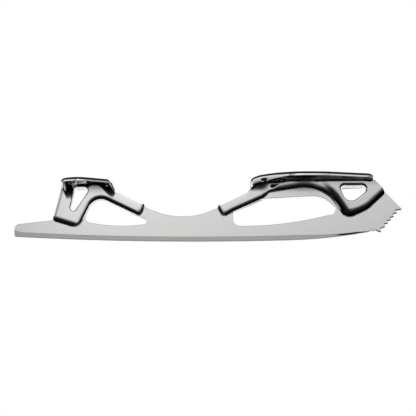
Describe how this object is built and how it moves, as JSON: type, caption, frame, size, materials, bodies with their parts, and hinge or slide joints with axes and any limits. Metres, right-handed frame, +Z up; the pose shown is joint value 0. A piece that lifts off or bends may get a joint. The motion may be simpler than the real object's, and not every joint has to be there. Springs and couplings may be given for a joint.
{
  "type": "figure skate blade",
  "caption": "Figure skate blade: ground steel runner with rocker and toe rake, brazed between chromed heel and sole mounts with windowed stanchions and drilled plates.",
  "frame": {"origin": "on the centre plane, at the middle of the overall length, at the height of the lowest point of the runner's bottom edge", "axes": "+X from the tail to the toe rake, +Y to the blade's left across its thickness, +Z up from the ice to the boot sole"},
  "size_m": [0.2842, 0.0622, 0.0469],
  "materials": {
    "runner_steel": "satin ground, with a finer ground relief along the bottom edge",
    "chrome": "bright polished chrome plate",
    "plated_braze": "brazing filler under chrome plate",
    "braze": "bare brazing filler"
  },
  "bodies": {
    "root": {"runner": "runner_steel", "sole_mount_left": "chrome", "sole_mount_right": "chrome", "heel_mount_left": "chrome", "heel_mount_right": "chrome", "sole_seam_braze": "plated_braze", "heel_seam_braze": "plated_braze", "sole_braze_left": "braze", "sole_braze_right": "braze", "heel_braze_left": "braze", "heel_braze_right": "braze"}
  },
  "joints": []
}
